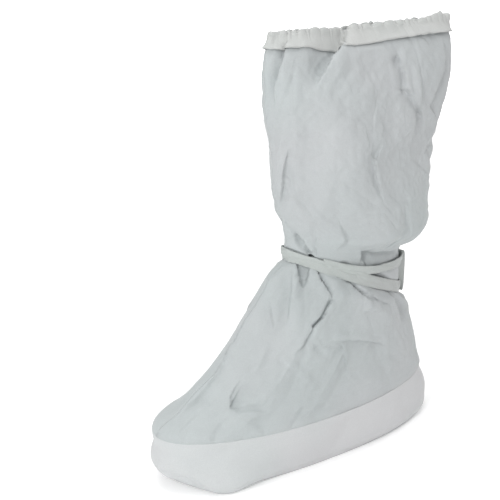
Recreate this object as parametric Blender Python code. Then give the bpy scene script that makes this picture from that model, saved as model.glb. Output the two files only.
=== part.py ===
"""Knee-high boot cover of non-woven fabric, gathered at the top and tied at the ankle.

Metres, +Z up. It stands on its sole with the toe along -X and the wearer's left side along -Y.
The origin is the middle of the flat underside of the sole.
"""

import math

import bmesh
import bpy
from mathutils import Vector

# Foot
FOOT_LENGTH = 0.380
FOOT_WIDTH = 0.148
BAND_HEIGHT = 0.058
TOE_SPRING = 0.006
SOLE_INSET = 0.014

# Drawn-in ankle, where the tie runs
ANKLE_LENGTH = 0.163
ANKLE_WIDTH = 0.074
ANKLE_SETBACK = 0.043
TIE_FRONT_HEIGHT = 0.236
TIE_BACK_HEIGHT = 0.166

# Leg
HEIGHT = 0.480
LEG_LENGTH = 0.254
LEG_WIDTH = 0.116
LEG_LEAN = 0.014

# Hem, tie straps and walls
HEM_DEPTH = 0.028
HEM_LIP = 0.008
TIE_WIDTH = 0.014
CROSS_WIDTH = 0.011
STRAP_SPREAD = 0.025
STRAP_THICKNESS = 0.0018
LOOP_WIDTH = 0.011
LOOP_STANDOFF = 0.003
PANEL_WALL = 0.0012
HEM_WALL = 0.0012
SOLE_WALL = 0.0016
CLEARANCE = 0.0005
SEAM_GAP = 0.0004
SEAM_RISE = 0.004
NECK_MARGIN = 0.002

# Folds
HEM_GATHERS = 15
HEM_GATHER_DEPTH = 0.0024
HEM_GATHER_REACH = 0.034
TIE_PLEATS = 13
TIE_PLEAT_DEPTH = 0.0042
TIE_PLEAT_REACH = 0.030
FOLD_SPREAD_AROUND = 0.27

# Mesh fineness
AROUND = 68
FOOT_LEVELS = 8
LEG_LEVELS = 9

# Places that follow from the sizes
TOE_X = -FOOT_LENGTH / 2
HEEL_X = FOOT_LENGTH / 2
ANKLE_BACK_X = HEEL_X - ANKLE_SETBACK
ANKLE_FRONT_X = ANKLE_BACK_X - ANKLE_LENGTH
LEG_X = (ANKLE_FRONT_X + ANKLE_BACK_X) / 2 + LEG_LEAN
NECK_LOW_FRONT = TIE_FRONT_HEIGHT - TIE_WIDTH / 2 - NECK_MARGIN
NECK_LOW_BACK = TIE_BACK_HEIGHT - TIE_WIDTH / 2 - NECK_MARGIN
NECK_HIGH_FRONT = TIE_FRONT_HEIGHT + TIE_WIDTH / 2 + NECK_MARGIN
NECK_HIGH_BACK = TIE_BACK_HEIGHT + TIE_WIDTH / 2 + STRAP_SPREAD + CROSS_WIDTH + NECK_MARGIN
PANEL_TOP = HEIGHT - HEM_WALL - CLEARANCE

# The sole band, floor upwards. rise is a share of BAND_HEIGHT, toe and heel of half of FOOT_LENGTH,
# width of half of FOOT_WIDTH, and square is the outline's superellipse power at the toe.
BAND_ROWS = (
    # rise, toe, heel, width, square
    (0.00, 0.915, 0.975, 0.865, 2.35),
    (0.14, 0.955, 1.000, 0.915, 2.30),
    (0.50, 1.000, 0.998, 0.960, 2.20),
    (1.00, 0.990, 0.955, 1.000, 2.05),
)

# The foot above the band. rise runs from the band to the ankle's neck, front and back run from
# the toe and heel ends to the ankle's, and width from the band's half width to the ankle's.
FOOT_ROWS = (
    # rise, front, back, width, square
    (0.106, 0.175, 0.25, 0.135, 1.95),
    (0.200, 0.300, 0.29, 0.27, 1.90),
    (0.450, 0.550, 0.44, 0.49, 1.90),
    (0.700, 0.712, 0.64, 0.68, 1.90),
    (0.920, 0.906, 0.87, 0.89, 1.95),
)

# The leg above the neck. rise runs from the neck to the top, front and back are shares of half of
# LEG_LENGTH about the leg's middle, and width is a share of half of LEG_WIDTH.
LEG_ROWS = (
    # rise, front, back, width, square
    (0.075, 0.783, 0.855, 0.83, 2.0),
    (0.110, 0.807, 0.885, 0.86, 2.0),
    (0.160, 0.839, 0.862, 0.91, 2.0),
    (0.260, 0.878, 0.815, 0.965, 2.0),
    (0.460, 0.949, 0.830, 1.000, 2.0),
    (0.670, 0.996, 0.949, 0.930, 2.0),
    (0.880, 0.996, 0.996, 0.600, 2.1),
    (1.000, 0.949, 0.941, 0.300, 2.2),
)

# Single folds and dents. side is -1 on the left panel and 1 on the right. around runs from 0 at the
# front seam to 1 at the back seam, up is a share of HEIGHT, width and depth are shares of HEIGHT too.
FOLDS = (
    # side, around, up, to_around, to_up, width, depth
    (-1, 0.145, 0.450, 0.205, 0.400, 0.022, -0.020),
    (-1, 0.245, 0.440, 0.365, 0.370, 0.023, -0.026),
    (-1, 0.365, 0.370, 0.284, 0.275, 0.023, -0.020),
    (-1, 0.285, 0.380, 0.245, 0.300, 0.024, 0.014),
    (-1, 0.420, 0.415, 0.510, 0.350, 0.022, -0.014),
    (-1, 0.577, 0.365, 0.880, 0.250, 0.024, -0.018),
    (-1, 0.480, 0.335, 0.700, 0.300, 0.036, 0.015),
    (-1, 0.437, 0.283, 0.635, 0.234, 0.026, -0.011),
    (-1, 0.131, 0.212, 0.293, 0.167, 0.034, -0.013),
    (-1, 0.432, 0.165, 0.624, 0.172, 0.022, 0.007),
    (-1, 0.400, 0.960, 0.240, 0.780, 0.028, -0.018),
    (-1, 0.565, 0.928, 0.646, 0.740, 0.025, -0.014),
    (-1, 0.752, 0.903, 0.900, 0.600, 0.028, -0.016),
    (-1, 0.150, 0.960, 0.070, 0.680, 0.022, 0.009),
    (-1, 0.104, 0.560, 0.218, 0.520, 0.024, -0.018),
    (-1, 0.521, 0.520, 0.720, 0.510, 0.022, -0.014),
    (1, 0.220, 0.440, 0.300, 0.340, 0.024, -0.020),
    (1, 0.520, 0.420, 0.440, 0.300, 0.024, -0.018),
    (1, 0.380, 0.410, 0.360, 0.270, 0.026, 0.014),
    (1, 0.740, 0.380, 0.700, 0.230, 0.030, 0.013),
    (1, 0.300, 0.200, 0.560, 0.250, 0.032, -0.012),
    (1, 0.300, 0.920, 0.460, 0.660, 0.030, -0.017),
    (1, 0.740, 0.880, 0.600, 0.600, 0.028, -0.015),
    (1, 0.220, 0.580, 0.320, 0.740, 0.028, 0.012),
)

COLOURS = {
    "upper": (0.70, 0.74, 0.76, 1.0),
    "hem": (0.76, 0.79, 0.79, 1.0),
    "sole": (0.84, 0.85, 0.86, 1.0),
    "tie": (0.78, 0.80, 0.79, 1.0),
}


def mix(start, end, share):
    return start + (end - start) * share


def smoothstep(share):
    share = min(max(share, 0.0), 1.0)
    return share * share * (3 - 2 * share)


def ring_row(front_x, front_z, back_x, back_z, half_width, square):
    """One section of the skin, with its mean height first, which places it between its neighbours."""
    return ((front_z + back_z) / 2, front_x, front_z, back_x, back_z, half_width, square)


def band_row(rise, toe, heel, width, square):
    height = rise * BAND_HEIGHT
    return ring_row(
        toe * TOE_X, height, heel * HEEL_X, height, width * FOOT_WIDTH / 2, square
    )


def foot_row(rise, front, back, width, square):
    return ring_row(
        mix(TOE_X, ANKLE_FRONT_X, front),
        mix(BAND_HEIGHT, NECK_LOW_FRONT, rise),
        mix(HEEL_X, ANKLE_BACK_X, back),
        mix(BAND_HEIGHT, NECK_LOW_BACK, rise),
        mix(FOOT_WIDTH, ANKLE_WIDTH, width) / 2,
        square,
    )


def leg_row(rise, front, back, width, square):
    return ring_row(
        LEG_X - front * LEG_LENGTH / 2,
        mix(NECK_HIGH_FRONT, PANEL_TOP, rise),
        LEG_X + back * LEG_LENGTH / 2,
        mix(NECK_HIGH_BACK, PANEL_TOP, rise),
        width * LEG_WIDTH / 2,
        square,
    )


def neck_row(front_z, back_z):
    return ring_row(ANKLE_FRONT_X, front_z, ANKLE_BACK_X, back_z, ANKLE_WIDTH / 2, 2.0)


def seam_row():
    """The panels' lower edge stands straight up from the band's, so that their walls meet end to end."""
    rise, front_x, front_z, back_x, back_z, half_width, square = band_row(*BAND_ROWS[-1])
    lifted = BAND_HEIGHT + SEAM_RISE
    return (lifted, front_x, lifted, back_x, lifted, half_width, square)


ROWS = (
    [band_row(*row) for row in BAND_ROWS]
    + [seam_row()]
    + [foot_row(*row) for row in FOOT_ROWS]
    + [neck_row(NECK_LOW_FRONT, NECK_LOW_BACK), neck_row(NECK_HIGH_FRONT, NECK_HIGH_BACK)]
    + [leg_row(*row) for row in LEG_ROWS]
)
LEVELS = [row[0] for row in ROWS]
BAND_TOP_LEVEL = LEVELS[len(BAND_ROWS) - 1]
SEAM_TOP_LEVEL = LEVELS[len(BAND_ROWS)]
NECK_LOW_LEVEL = LEVELS[len(BAND_ROWS) + len(FOOT_ROWS) + 1]
NECK_HIGH_LEVEL = LEVELS[len(BAND_ROWS) + len(FOOT_ROWS) + 2]
TOP_LEVEL = LEVELS[-1]


def slope_at(index, column):
    """A monotone cubic's slope at a row, so that flat stretches such as the neck stay flat."""
    if index in (0, len(ROWS) - 1):
        return 0.0
    before = LEVELS[index] - LEVELS[index - 1]
    after = LEVELS[index + 1] - LEVELS[index]
    rise_before = (ROWS[index][column] - ROWS[index - 1][column]) / before
    rise_after = (ROWS[index + 1][column] - ROWS[index][column]) / after
    if rise_before * rise_after <= 0:
        return 0.0
    return (before + after) / (before / rise_after + after / rise_before)


def section_at(level):
    """front_x, front_z, back_x, back_z, half_width and square at a mean height."""
    index = 0
    while index < len(ROWS) - 2 and level > LEVELS[index + 1]:
        index += 1
    span = LEVELS[index + 1] - LEVELS[index]
    t = (level - LEVELS[index]) / span
    values = []
    for column in range(1, 7):
        low, high = ROWS[index][column], ROWS[index + 1][column]
        if column in (2, 4):
            values.append(mix(low, high, t))
            continue
        slope_low, slope_high = slope_at(index, column) * span, slope_at(index + 1, column) * span
        values.append(
            (2 * t**3 - 3 * t**2 + 1) * low
            + (t**3 - 2 * t**2 + t) * slope_low
            + (3 * t**2 - 2 * t**3) * high
            + (t**3 - t**2) * slope_high
        )
    return values


def power(value, exponent):
    return math.copysign(abs(value) ** exponent, value)


def plain_point(section, angle):
    """A point of a section. Angle 0 is the back seam and pi the front seam, and the left side comes first."""
    front_x, front_z, back_x, back_z, half_width, square = section
    along = power(math.cos(angle), 2 / square)
    across = power(math.sin(angle), 2 / square)
    x = mix(front_x, back_x, (1 + along) / 2)
    share = (x - front_x) / (back_x - front_x)
    return Vector((x, -half_width * across, mix(front_z, back_z, share)))


def fold_push(side, around, up):
    """How far the single folds push the skin out, as a share of HEIGHT."""
    push = 0.0
    stretch = FOLD_SPREAD_AROUND / HEIGHT
    for fold_side, start_around, start_up, end_around, end_up, width, depth in FOLDS:
        if fold_side != side:
            continue
        run_around, run_up = (end_around - start_around) * stretch, end_up - start_up
        off_around, off_up = (around - start_around) * stretch, up - start_up
        length = math.hypot(run_around, run_up)
        along = (off_around * run_around + off_up * run_up) / length**2
        across = (off_around * run_up - off_up * run_around) / length
        past = max(0.0, -along, along - 1) * length
        taper = math.sin(math.pi * min(max(along, 0.12), 0.88))
        push += depth * taper * math.exp(-((across / width) ** 2) - (past / width) ** 2)
    return push


def tie_push(side, around, level):
    """Pleats that fan out above and below the tie and vanish on the neck itself."""
    away = max(NECK_LOW_LEVEL - level, level - NECK_HIGH_LEVEL, 0.0) / TIE_PLEAT_REACH
    envelope = away * math.exp(1 - away)
    below = level < NECK_LOW_LEVEL
    count = TIE_PLEATS if below else TIE_PLEATS - 2
    phase = 0.7 * side + (0.0 if below else 1.9)
    wave = math.cos(math.pi * count * around + phase) + 0.35 * math.cos(
        math.pi * (count * 0.45) * around + 2 * phase
    )
    edge = smoothstep(around / 0.08) * smoothstep((1 - around) / 0.08)
    return TIE_PLEAT_DEPTH * envelope * wave * edge


def hem_push(side, around, level):
    """Gathers drawn up by the elastic at the top edge, fading down the leg."""
    fade = math.exp(-(((TOP_LEVEL - level) / HEM_GATHER_REACH) ** 2))
    wobble = 0.9 * math.sin(5.1 * around + side)
    wave = math.cos(math.pi * HEM_GATHERS * around + wobble)
    edge = smoothstep(around / 0.05) * smoothstep((1 - around) / 0.05)
    return HEM_GATHER_DEPTH * fade * wave * edge


def outward(level, angle):
    """The skin's outward direction, level beside the upright seam so that its two edges meet square."""
    turn = 0.01
    around = plain_point(section_at(level), angle + turn) - plain_point(section_at(level), angle - turn)
    if level <= SEAM_TOP_LEVEL:
        return Vector((-around.y, around.x, 0.0)).normalized()
    rise = 0.02 * HEM_DEPTH
    low, high = max(level - rise, SEAM_TOP_LEVEL), min(level + rise, TOP_LEVEL)
    climb = plain_point(section_at(high), angle) - plain_point(section_at(low), angle)
    return climb.cross(around).normalized()


def skin(level, angle, out=0.0):
    """A point of the outer skin, pushed out by its folds and by out."""
    point = plain_point(section_at(level), angle)
    side = -1 if math.sin(angle) > 0 else 1
    around = abs(math.pi - angle) / math.pi
    push = 0.0
    if level > BAND_TOP_LEVEL:
        clear_of_band = smoothstep((level - SEAM_TOP_LEVEL) / (0.06 * HEIGHT))
        clear_of_neck = smoothstep(
            max(NECK_LOW_LEVEL - level, level - NECK_HIGH_LEVEL, 0.0) / (0.03 * HEIGHT)
        )
        push = HEIGHT * fold_push(side, around, point.z / HEIGHT) * clear_of_band * clear_of_neck
        push += tie_push(side, around, level) * clear_of_band
        push += hem_push(side, around, level)
    return point + outward(level, angle) * (push + out)


def toe_lift(x, level):
    """The toe's underside rises a little off the floor."""
    near_toe = smoothstep((0.72 * TOE_X - x) / (0.25 * -TOE_X))
    return TOE_SPRING * near_toe * (1 - min(level / BAND_HEIGHT, 1.0))


def angles():
    """Half a step off the seams, so that each seam falls in the middle of a facet."""
    return [2 * math.pi * (i + 0.5) / AROUND for i in range(AROUND)]


def object_of(name, bm, collection, material=None):
    mesh = bpy.data.meshes.new(name)
    bmesh.ops.recalc_face_normals(bm, faces=bm.faces[:])
    bm.to_mesh(mesh)
    bm.free()
    made = bpy.data.objects.new(name, mesh)
    collection.objects.link(made)
    if material:
        mesh.materials.append(material)
        mesh.shade_smooth()
        mesh.set_sharp_from_angle(angle=math.radians(50))
    return made


def bridge_rings(bm, rings, closed_around=True):
    """Faces between neighbouring rings, split along the same diagonal on either side of a wall."""
    count = len(rings[0])
    last = count if closed_around else count - 1
    for first, second in zip(rings[:-1], rings[1:]):
        low, high = sorted((first, second), key=lambda ring: sum(vert.co.z for vert in ring))
        for i in range(last):
            j = (i + 1) % count
            bm.faces.new((low[i], low[j], high[j]))
            bm.faces.new((low[i], high[j], high[i]))


def material_of(name, roughness=0.75):
    made = bpy.data.materials.new(name)
    made.use_nodes = True
    shader = made.node_tree.nodes["Principled BSDF"]
    shader.inputs["Base Color"].default_value = COLOURS[name]
    shader.inputs["Roughness"].default_value = roughness
    shader.inputs["Metallic"].default_value = 0.0
    return made


def collection_of(name):
    made = bpy.data.collections.new(name)
    bpy.context.scene.collection.children.link(made)
    return made


def half_cutter(name, side, helpers):
    """A block over the other half, so that cutting with it leaves the panel on this side."""
    size = 4 * max(HEIGHT, FOOT_LENGTH, FOOT_WIDTH, LEG_LENGTH)
    bm = bmesh.new()
    bmesh.ops.create_cube(bm, size=size)
    bmesh.ops.translate(bm, verts=bm.verts[:], vec=(0, -side * (size - SEAM_GAP) / 2, 0))
    cutter = object_of(name, bm, helpers)
    cutter.hide_render = True
    cutter.display_type = "WIRE"
    return cutter


def hem_levels():
    """The panels and the hem share these levels, so that their facets lie parallel."""
    return [TOP_LEVEL - drop for drop in (HEM_DEPTH, (HEM_DEPTH + HEM_LIP) / 2, HEM_LIP, 0.0)]


def panel_levels():
    """Mean heights of the panels' rings, closer together where the tie gathers the cloth."""
    seam = [BAND_TOP_LEVEL + SEAM_GAP / 2]
    foot = [mix(SEAM_TOP_LEVEL, NECK_LOW_LEVEL, i / FOOT_LEVELS) for i in range(FOOT_LEVELS + 1)]
    hem = hem_levels()
    leg = [mix(NECK_HIGH_LEVEL, hem[0], (i / LEG_LEVELS) ** 1.2) for i in range(LEG_LEVELS)]
    return seam + foot + leg + hem


def ring_at(bm, level, out, lift=0.0):
    """A ring of the skin pushed out by out and raised by lift, with the toe's own lift."""
    ring = []
    for angle in angles():
        point = skin(level, angle, out)
        point.z += lift + toe_lift(point.x, level)
        ring.append(bm.verts.new(point))
    return ring


def make_panels(parts, helpers, material):
    """The two side panels, cut from one tube of cloth by the plane of the front and back seams."""
    levels = panel_levels()
    for name, side in (("left_panel", -1), ("right_panel", 1)):
        bm = bmesh.new()
        rings = [ring_at(bm, level, 0.0) for level in levels]
        rings += [ring_at(bm, level, -PANEL_WALL) for level in reversed(levels)]
        bridge_rings(bm, rings + [rings[0]])
        panel = object_of(name, bm, parts, material)
        cut = panel.modifiers.new("seam_cut", "BOOLEAN")
        cut.operation = "DIFFERENCE"
        cut.object = half_cutter(name + "_cutter", side, helpers)


def tread_ring(bm, out, height):
    """The edge of the flat tread, inside the sole's outline and short of the lifted toe."""
    ring = []
    for angle in angles():
        point = skin(0.0, angle, out - SOLE_INSET)
        ring.append(bm.verts.new((max(point.x, 0.72 * TOE_X), point.y, height)))
    return ring


def make_sole(parts, material):
    """The sole and the band that is turned up round the foot, as one tray."""
    bm = bmesh.new()
    top = BAND_TOP_LEVEL - SEAM_GAP / 2
    levels = [top * rise for rise in (0.0, 0.07, 0.17, 0.45, 1.0)]
    tread, floor = tread_ring(bm, 0.0, 0.0), tread_ring(bm, 0.0, SOLE_WALL)
    outside = [ring_at(bm, level, 0.0) for level in levels]
    inside = [ring_at(bm, level, -SOLE_WALL) for level in reversed(levels[1:])]
    inside.append(ring_at(bm, 0.0, -SOLE_WALL, SOLE_WALL))
    bridge_rings(bm, [tread] + outside + inside + [floor])
    bm.faces.new(tread)
    bm.faces.new(floor)
    object_of("sole_wrap", bm, parts, material)


def make_hem(parts, material):
    """The casing folded down outside the top edge: an upside-down channel that straddles the panels."""
    low, middle, lip, top = hem_levels()
    outer = CLEARANCE + HEM_WALL
    back = -PANEL_WALL - CLEARANCE
    inner = back - HEM_WALL
    profile = (
        # level, out, lift
        (low, outer, 0.0),
        (middle, outer, 0.0),
        (lip, outer, 0.0),
        (top, outer, 0.0),
        (top, mix(inner, outer, 0.75), outer),
        (top, mix(inner, outer, 0.25), outer),
        (top, inner, 0.0),
        (lip, inner, 0.0),
        (lip, back, 0.0),
        (top, back, CLEARANCE),
        (top, CLEARANCE, CLEARANCE),
        (lip, CLEARANCE, 0.0),
        (middle, CLEARANCE, 0.0),
        (low, CLEARANCE, 0.0),
    )
    bm = bmesh.new()
    rings = [ring_at(bm, level, out, lift) for level, out, lift in profile]
    bridge_rings(bm, rings + [rings[0]])
    object_of("top_hem", bm, parts, material)


def neck_share(angle):
    """0 at the front of the neck and 1 at its back."""
    point = plain_point(section_at(NECK_LOW_LEVEL), angle)
    return (point.x - ANKLE_FRONT_X) / ANKLE_LENGTH


def band_middle(share):
    return mix(TIE_FRONT_HEIGHT, TIE_BACK_HEIGHT, share)


def cross_middle(share):
    return mix(NECK_HIGH_FRONT, NECK_HIGH_BACK, share) - NECK_MARGIN - CROSS_WIDTH / 2


def strap(name, ring_angles, middle, width, closed_around, parts, material):
    """A flat strap round the neck, its inner face a clearance off the skin."""
    bm = bmesh.new()
    bow = 0.15 * STRAP_THICKNESS
    corners = (
        (0.0, -width / 2),
        (STRAP_THICKNESS, -width / 2),
        (STRAP_THICKNESS + bow, 0.0),
        (STRAP_THICKNESS, width / 2),
        (0.0, width / 2),
    )
    rings = []
    for out, rise in corners:
        ring = []
        for angle in ring_angles:
            point = skin(NECK_LOW_LEVEL, angle, CLEARANCE + out)
            point.z = middle(neck_share(angle)) + rise
            ring.append(bm.verts.new(point))
        rings.append(ring)
    bridge_rings(bm, rings + [rings[0]], closed_around)
    if not closed_around:
        for end in (0, -1):
            bm.faces.new([ring[end] for ring in rings])
    object_of(name, bm, parts, material)


def make_ties(parts, material):
    """The strap round the ankle, the second strap that spreads from it to the back, and their loop."""
    strap("tie_band", angles(), band_middle, TIE_WIDTH, True, parts, material)
    spread = STRAP_SPREAD + CROSS_WIDTH
    first_share = (CROSS_WIDTH + 2 * CLEARANCE) / spread
    reach = [a if a < math.pi else a - 2 * math.pi for a in angles()]
    reach = sorted(a for a in reach if neck_share(a) > first_share)
    strap("tie_cross", reach, cross_middle, CROSS_WIDTH, False, parts, material)


def make_loop(parts, material):
    """A turn of the strap that stands off the back and holds both straps together."""
    bm = bmesh.new()
    steps = 8
    low = TIE_BACK_HEIGHT - 0.3 * TIE_WIDTH
    high = NECK_HIGH_BACK - NECK_MARGIN
    seat = ANKLE_BACK_X + 2 * CLEARANCE + 1.15 * STRAP_THICKNESS
    rings = []
    for i in range(steps + 1):
        share = i / steps
        x = seat + LOOP_STANDOFF * math.sin(math.pi * share)
        z = mix(low, high, share)
        rings.append(
            [
                bm.verts.new((x, -LOOP_WIDTH / 2, z)),
                bm.verts.new((x + STRAP_THICKNESS, -LOOP_WIDTH / 2, z)),
                bm.verts.new((x + STRAP_THICKNESS, LOOP_WIDTH / 2, z)),
                bm.verts.new((x, LOOP_WIDTH / 2, z)),
            ]
        )
    bridge_rings(bm, rings)
    for end in (0, -1):
        bm.faces.new(rings[end])
    object_of("tie_loop", bm, parts, material)


def main():
    for old in list(bpy.data.objects):
        bpy.data.objects.remove(old)
    parts = collection_of("boot_cover")
    helpers = collection_of("cutters")
    make_panels(parts, helpers, material_of("upper"))
    make_sole(parts, material_of("sole", 0.6))
    make_hem(parts, material_of("hem"))
    tie = material_of("tie")
    make_ties(parts, tie)
    make_loop(parts, tie)


main()
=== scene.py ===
"""A knee-high boot cover of pale non-woven fabric, gathered at the top and tied at the ankle.

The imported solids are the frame, and every visible piece is a sheet of cloth over them. The foot and
the leg are laid out on the cover's form, simulated with the spare cloth that their gathers take up,
creased, and given a thickness. The hem follows the cover that comes of it. The sole and the straps
follow the form.
"""

import math

import bmesh
import bpy
import numpy as np
from mathutils import Matrix, Vector
from mathutils.geometry import delaunay_2d_cdt


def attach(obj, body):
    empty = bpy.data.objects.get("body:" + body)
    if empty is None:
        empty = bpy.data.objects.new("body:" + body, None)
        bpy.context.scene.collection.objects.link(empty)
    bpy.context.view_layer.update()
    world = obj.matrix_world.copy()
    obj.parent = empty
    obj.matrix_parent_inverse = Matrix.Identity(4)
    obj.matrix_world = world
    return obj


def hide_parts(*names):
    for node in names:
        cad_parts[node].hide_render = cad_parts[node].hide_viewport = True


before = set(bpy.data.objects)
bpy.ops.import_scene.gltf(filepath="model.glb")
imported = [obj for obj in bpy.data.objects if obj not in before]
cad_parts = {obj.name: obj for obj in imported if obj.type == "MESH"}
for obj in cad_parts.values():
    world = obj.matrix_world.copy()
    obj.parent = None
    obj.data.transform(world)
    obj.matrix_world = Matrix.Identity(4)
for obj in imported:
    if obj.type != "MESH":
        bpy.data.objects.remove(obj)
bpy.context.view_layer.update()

SEED = 11

# The cover's form, as level sections in metres. level is the section's mean height. Each section is
# tilted from front_z to back_z, half is its half width and square its superellipse power.
SECTIONS = np.array(
    [
        # level, front_x, front_z, back_x, back_z, half, square
        (0.0000, -0.1739, 0.0000, 0.1853, 0.0000, 0.0640, 2.35),
        (0.0081, -0.1815, 0.0081, 0.1900, 0.0081, 0.0677, 2.30),
        (0.0290, -0.1900, 0.0290, 0.1896, 0.0290, 0.0710, 2.20),
        (0.0580, -0.1881, 0.0580, 0.1815, 0.0580, 0.0740, 2.05),
        (0.0620, -0.1881, 0.0620, 0.1815, 0.0620, 0.0740, 2.05),
        (0.0722, -0.1596, 0.0759, 0.1793, 0.0685, 0.0690, 1.95),
        (0.0848, -0.1378, 0.0918, 0.1775, 0.0778, 0.0640, 1.90),
        (0.1183, -0.0943, 0.1341, 0.1711, 0.1026, 0.0559, 1.90),
        (0.1518, -0.0661, 0.1763, 0.1625, 0.1273, 0.0488, 1.90),
        (0.1813, -0.0324, 0.2135, 0.1526, 0.1491, 0.0411, 1.95),
        (0.1920, -0.0160, 0.2270, 0.1470, 0.1570, 0.0370, 2.00),
        (0.2280, -0.0160, 0.2450, 0.1470, 0.2110, 0.0370, 2.00),
        (0.2468, -0.0199, 0.2625, 0.1881, 0.2310, 0.0481, 2.00),
        (0.2556, -0.0230, 0.2707, 0.1919, 0.2404, 0.0499, 2.00),
        (0.2681, -0.0271, 0.2823, 0.1890, 0.2538, 0.0528, 2.00),
        (0.2931, -0.0320, 0.3057, 0.1830, 0.2805, 0.0560, 2.00),
        (0.3432, -0.0410, 0.3523, 0.1849, 0.3340, 0.0580, 2.00),
        (0.3957, -0.0470, 0.4013, 0.2000, 0.3901, 0.0539, 2.00),
        (0.4483, -0.0470, 0.4503, 0.2060, 0.4462, 0.0310, 2.10),
        (0.4783, -0.0410, 0.4783, 0.1990, 0.4783, 0.0095, 2.20),
    ]
)


def monotone_slopes(levels, values):
    """Each column's slope at each level, such that no curve swings out past its rows."""
    steps = np.diff(levels)[:, None]
    rates = np.diff(values, axis=0) / steps
    slopes = np.zeros_like(values)
    same = rates[:-1] * rates[1:] > 0
    total = steps[:-1] + steps[1:]
    with np.errstate(divide="ignore", invalid="ignore"):
        mean = total / (steps[:-1] / rates[1:] + steps[1:] / rates[:-1])
    slopes[1:-1] = np.where(same, mean, 0.0)
    return slopes


LEVELS, VALUES = SECTIONS[:, 0], SECTIONS[:, 1:]
SLOPES = monotone_slopes(LEVELS, VALUES)


def section_at(level):
    """front_x, front_z, back_x, back_z, half and square at each level.

    The two heights run straight from row to row, and the other values run smoothly.
    """
    level = np.asarray(level, float)
    i = np.clip(np.searchsorted(LEVELS, level) - 1, 0, len(LEVELS) - 2)
    span = (LEVELS[i + 1] - LEVELS[i])[..., None]
    t = (level[..., None] - LEVELS[i][..., None]) / span
    low, high = VALUES[i], VALUES[i + 1]
    out = (
        (2 * t**3 - 3 * t**2 + 1) * low
        + (t**3 - 2 * t**2 + t) * span * SLOPES[i]
        + (3 * t**2 - 2 * t**3) * high
        + (t**3 - t**2) * span * SLOPES[i + 1]
    )
    straight = low + (high - low) * t
    out[..., (1, 3)] = straight[..., (1, 3)]
    return out


def ring_points(level, count):
    """count points round a section, evenly spaced along it, from the front seam by the left side."""
    front_x, front_z, back_x, back_z, half, square = section_at(level)
    angle = np.linspace(0, 2 * math.pi, 1201)
    c, s = np.cos(angle), np.sin(angle)
    x = front_x + (back_x - front_x) * (1 - np.sign(c) * np.abs(c) ** (2 / square)) / 2
    y = -half * np.sign(s) * np.abs(s) ** (2 / square)
    share = (x - front_x) / (back_x - front_x)
    points = np.stack([x, y, front_z + (back_z - front_z) * share], 1)
    run = np.concatenate([[0], np.cumsum(np.linalg.norm(np.diff(points, axis=0), axis=1))])
    want = np.linspace(0, run[-1], count + 1)[:-1]
    return np.stack([np.interp(want, run, points[:, k]) for k in range(3)], 1)


def cover_grid(levels, count):
    """The form as a grid: a row for each level, a column for each place round it."""
    return np.stack([ring_points(level, count) for level in levels])


def grid_normals(grid):
    """Outward normals of a grid whose rows are closed rings."""
    around = np.roll(grid, -1, 1) - np.roll(grid, 1, 1)
    up = np.gradient(grid, axis=0)
    normals = np.cross(around, up)
    return normals / np.maximum(np.linalg.norm(normals, axis=2, keepdims=True), 1e-12)


def blur_weights(gap, reach):
    """Rows of weights that average a field over about reach, from the gaps between its points."""
    weights = np.exp(-((gap / reach) ** 2) / 2)
    return weights / weights.sum(1, keepdims=True)


def row_blur(places, reach):
    """The weights for points at places along a line."""
    return blur_weights(places[:, None] - places[None, :], reach)


def ring_blur(count, reach):
    """The weights for a closed ring of evenly spaced points, with reach in points."""
    gap = np.abs(np.arange(count)[:, None] - np.arange(count)[None, :])
    return blur_weights(np.minimum(gap, count - gap), reach)


def wander(shape, reach_rows, reach_cols, seed):
    """A smooth random field on the grid, closed round it, from about -2 to 2."""
    rng = np.random.default_rng(seed)
    field = rng.standard_normal(shape)
    field = row_blur(np.arange(shape[0], dtype=float), reach_rows) @ field
    field = field @ ring_blur(shape[1], reach_cols).T
    return field / field.std()


def ramp(value, low, high):
    """A smooth step, from 0 at low to 1 at high."""
    share = np.clip((value - low) / (high - low), 0.0, 1.0)
    return share * share * (3 - 2 * share)


def grid_object(name, grid, closed=True):
    """A quad mesh on a grid of points. Its rows are closed rings, or open strips."""
    rows, cols, _ = grid.shape
    i, j = np.meshgrid(np.arange(rows - 1), np.arange(cols if closed else cols - 1), indexing="ij")
    k = (j + 1) % cols
    faces = np.stack([i * cols + j, i * cols + k, (i + 1) * cols + k, (i + 1) * cols + j], -1)
    mesh = bpy.data.meshes.new(name)
    mesh.from_pydata(grid.reshape(-1, 3).tolist(), [], faces.reshape(-1, 4).tolist())
    mesh.shade_smooth()
    obj = bpy.data.objects.new(name, mesh)
    bpy.context.scene.collection.objects.link(obj)
    return obj


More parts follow.
